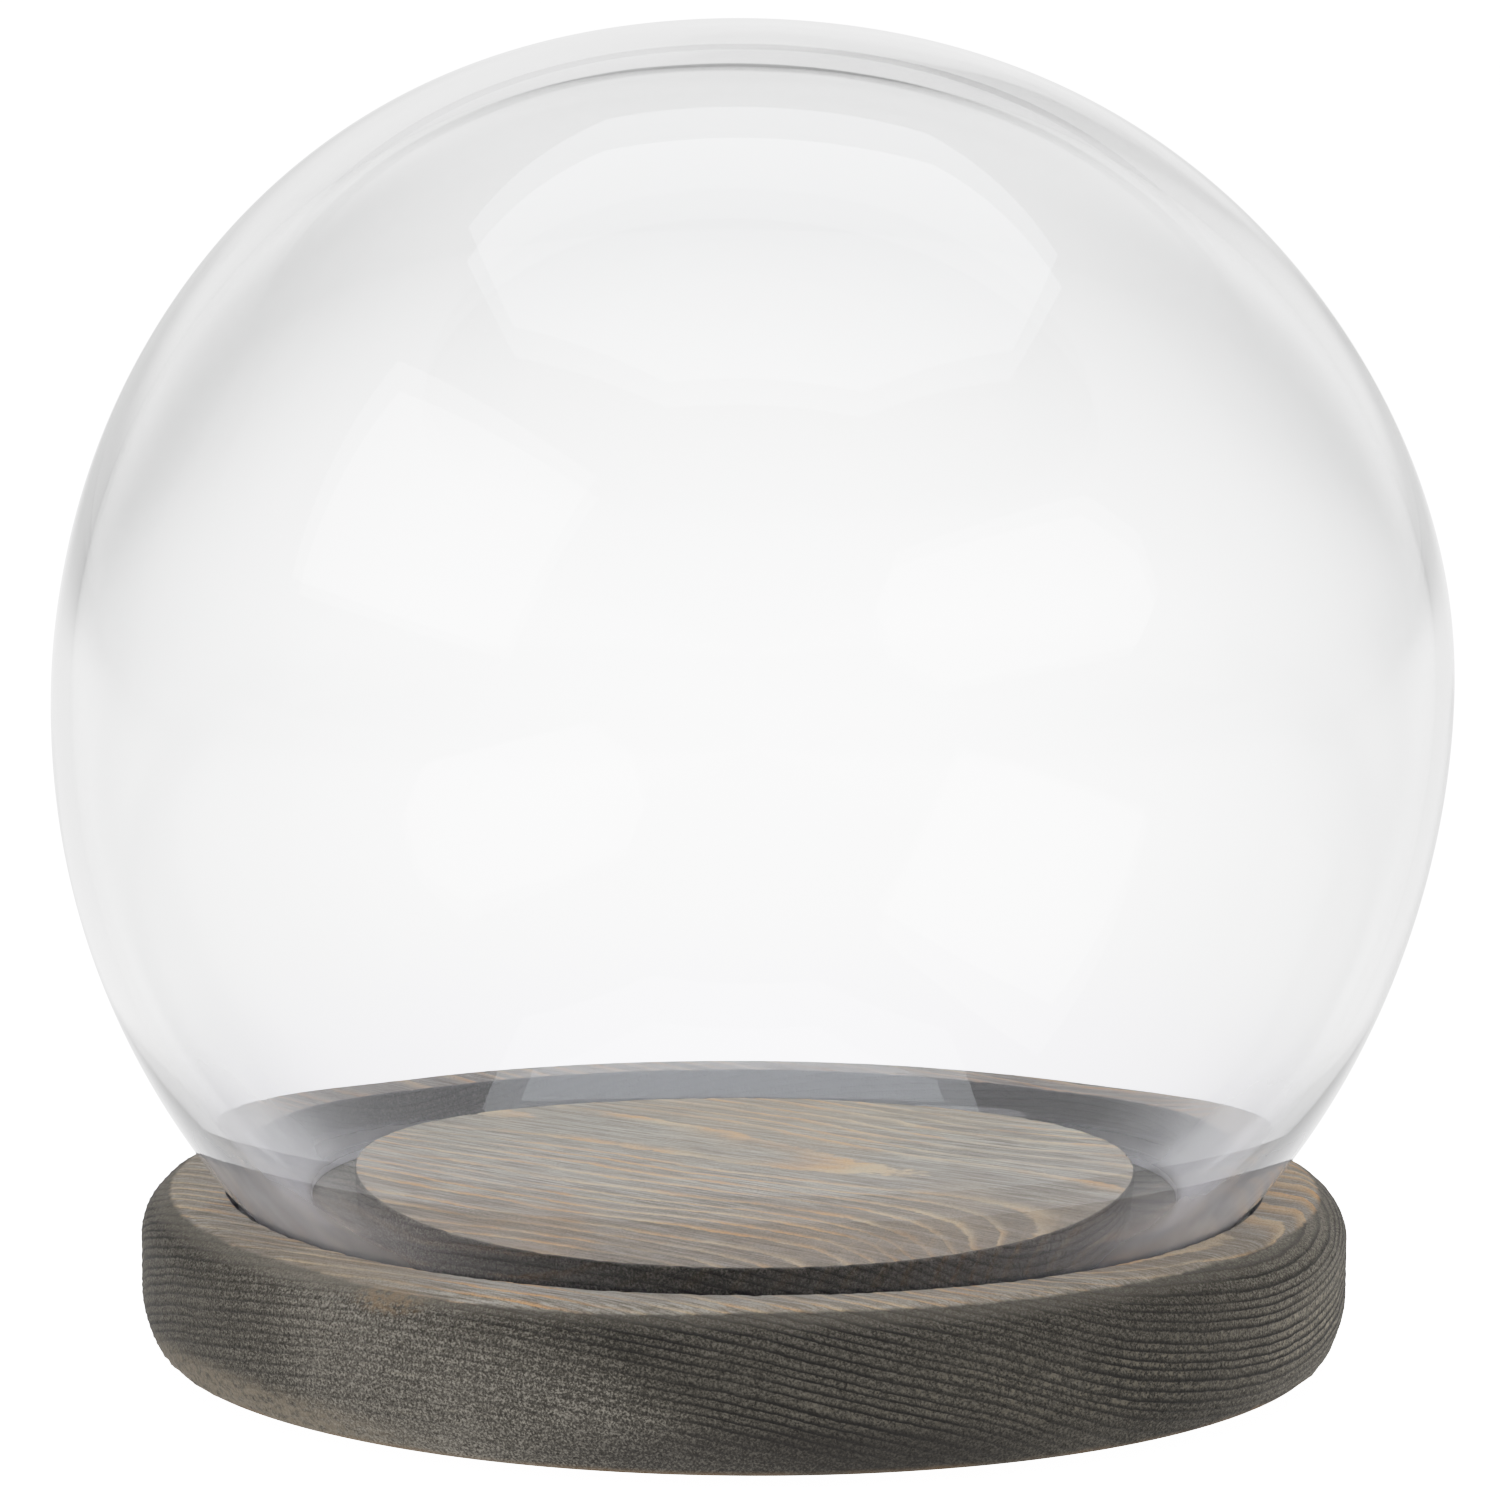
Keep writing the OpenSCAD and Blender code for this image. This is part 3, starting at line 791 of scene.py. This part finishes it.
def soft_box(name, direction_az, direction_el, distance, width, height, strength, roll=0.0, cut=0.0, colour=(1.0, 1.0, 1.0), lit=1.0, centre=(0, 0, 0.11)):
    """A glowing panel facing the object. Azimuth 0 is the camera's side, positive to the right; elevation above the horizon."""
    a, e = math.radians(direction_az), math.radians(direction_el)
    d = Vector((math.sin(a) * math.cos(e), -math.cos(a) * math.cos(e), math.sin(e)))
    w, h = width / 2, height / 2
    if cut:
        pts = [(-w + cut, -h), (w - cut, -h), (w, -h + cut), (w, h - cut), (w - cut, h), (-w + cut, h), (-w, h - cut), (-w, -h + cut)]
    else:
        pts = [(-w, -h), (w, -h), (w, h), (-w, h)]
    me = bpy.data.meshes.new(name)
    me.from_pydata([(x, y, 0) for x, y in pts], [], [tuple(range(len(pts)))])
    ob = bpy.data.objects.new(name, me)
    scene.collection.objects.link(ob)
    rot = d.to_track_quat("Z", "Y").to_matrix().to_4x4() @ Matrix.Rotation(math.radians(roll), 4, "Z")
    ob.matrix_world = Matrix.Translation(Vector(centre) + d * distance) @ rot
    m = bpy.data.materials.new(name)
    m.use_nodes = True
    m.node_tree.nodes.clear()
    k = Nodes(m.node_tree)
    out = k.new("ShaderNodeOutputMaterial")
    em = k.new("ShaderNodeEmission")
    em.inputs["Color"].default_value = colour + (1.0,)
    geo = k.new("ShaderNodeNewGeometry")
    co = k.new("ShaderNodeTexCoord").outputs["Object"]
    ln = k.new("ShaderNodeVectorMath", operation="LENGTH")
    k.put(ln.inputs[0], co)
    fall = k.range(ln.outputs["Value"], 0.0, max(w, h) * 1.4, 1.08, 0.86)
    look, lp = seen_in_glass(k)
    k.put(em.inputs["Strength"], k.math("MULTIPLY", k.math("MULTIPLY", fall, strength), k.range(look, 0.0, 1.0, LIT * lit, 1.0, "LINEAR")))
    tr = k.new("ShaderNodeBsdfTransparent")
    mixer = k.new("ShaderNodeMixShader")
    k.put(mixer.inputs[0], geo.outputs["Backfacing"])
    k.t.links.new(em.outputs[0], mixer.inputs[1])
    k.t.links.new(tr.outputs[0], mixer.inputs[2])
    k.t.links.new(mixer.outputs[0], out.inputs["Surface"])
    me.materials.append(m)
    ob.parent = rig
    # the panel's front is its -Z side, towards the object
    me.flip_normals()
    return ob


soft_box("soft_top", 0, 90, 1.15, 1.48, 1.42, 3.5, cut=0.42, colour=(0.95, 0.99, 1.03), centre=(0.045, 0.05, 0.11))
soft_box("soft_left", -60, 31, 1.5, 1.16, 0.84, 3.6, roll=-3, lit=0.46)
soft_box("soft_right", 45.5, 22.5, 1.6, 1.36, 0.66, 3.2, roll=4, cut=0.20, lit=0.52)

ROOM_FRONT, ROOM_SIDE = 1.1, 0.30
world = bpy.data.worlds.new("studio")
scene.world = world
world.use_nodes = True
world.node_tree.nodes.clear()
k = Nodes(world.node_tree)
w_out = k.new("ShaderNodeOutputWorld")
bg = k.new("ShaderNodeBackground")
co = k.new("ShaderNodeTexCoord").outputs["Generated"]
spin = k.new("ShaderNodeMapping", vector_type="TEXTURE")
k.put(spin.inputs["Vector"], co)
drv = spin.inputs["Rotation"].driver_add("default_value", 2).driver
drv.type = "SUM"
var = drv.variables.new()
var.name = "z"
var.type = "TRANSFORMS"
var.targets[0].id = cam
var.targets[0].transform_type = "ROT_Z"
var.targets[0].rotation_mode = "XYZ"
var.targets[0].transform_space = "WORLD_SPACE"
sp = k.new("ShaderNodeSeparateXYZ")
k.put(sp.inputs[0], spin.outputs[0])
away = sp.outputs[1]     # +1 straight ahead of the camera, behind the object
height = sp.outputs[2]
behind = k.math("MULTIPLY", k.range(away, 0.70, 0.93), k.range(height, 0.42, 0.62, 1.0, 0.0))
side_u = k.math("DIVIDE", sp.outputs[0], k.math("MAXIMUM", away, 0.2))
corner = sweep(k, side_u, k.range(height, 0.02, 0.12, 1.0, 0.0), k.range(height, 0.05, 0.20, 1.0, 0.0))
# the dark bar that the paper hangs from
bar = k.math("MULTIPLY", k.math("MULTIPLY", k.range(height, 0.412, 0.424), k.range(height, 0.462, 0.474, 1.0, 0.0)), k.range(away, 0.60, 0.75))
room = k.range(away, -1.0, 0.6, ROOM_FRONT, ROOM_SIDE)
room = k.math("MULTIPLY", room, k.range(height, 0.35, 0.75, 1.0, 0.55))
look, lp = seen_in_glass(k)
light = k.math("ADD", k.math("MULTIPLY", behind, 1.35 - ROOM_SIDE), room)
light = k.math("MULTIPLY", light, k.math("MULTIPLY", corner, k.math("SUBTRACT", 1.0, k.math("MULTIPLY", bar, 0.8))))
light = k.math("MULTIPLY", light, k.range(look, 0.0, 1.0, LIT, 1.0, "LINEAR"))
# straight into the camera the surround is plain white in every view
light = k.math("ADD", light, k.math("MULTIPLY", lp.outputs["Is Camera Ray"], 3.0))
bg.inputs["Color"].default_value = (1, 1, 1, 1)
k.put(bg.inputs["Strength"], light)
k.t.links.new(bg.outputs[0], w_out.inputs[0])
world.cycles.sampling_method = "MANUAL"
world.cycles.sample_map_resolution = 1024

scene.view_settings.view_transform = "Standard"
scene.view_settings.look = "None"
scene.view_settings.exposure = 0.0
scene.view_settings.gamma = 1.0
# a camera's soft shoulder: highlights are pressed together instead of clipping
scene.view_settings.use_curve_mapping = True
tone = scene.view_settings.curve_mapping
TONE = [(0, 0), (0.1, 0.1), (0.2, 0.2), (0.3, 0.298), (0.4, 0.39), (0.5, 0.475), (0.7, 0.60), (0.9, 0.70), (1.2, 0.795), (1.5, 0.86),
        (1.8, 0.905), (2.05, 0.935), (2.35, 0.96), (2.7, 0.98), (3.2, 1.0)]
tone.white_level = (3.2, 3.2, 3.2)
tone.clip_max_x = tone.clip_max_y = 1.0
c = tone.curves[3]
while len(c.points) > 2:
    c.points.remove(c.points[1])
c.points[0].location = (0, 0)
c.points[-1].location = (1, 1)
for x, y in TONE[1:-1]:
    c.points.new(x / 3.2, y)
tone.update()
scene.cycles.use_denoising = True
scene.cycles.caustics_refractive = True
scene.cycles.caustics_reflective = True
scene.cycles.blur_glossy = 0.3
scene.cycles.max_bounces = 20
scene.cycles.transmission_bounces = 16
scene.cycles.glossy_bounces = 8
scene.cycles.diffuse_bounces = 4
scene.cycles.sample_clamp_indirect = 12.0

bpy.context.view_layer.update()
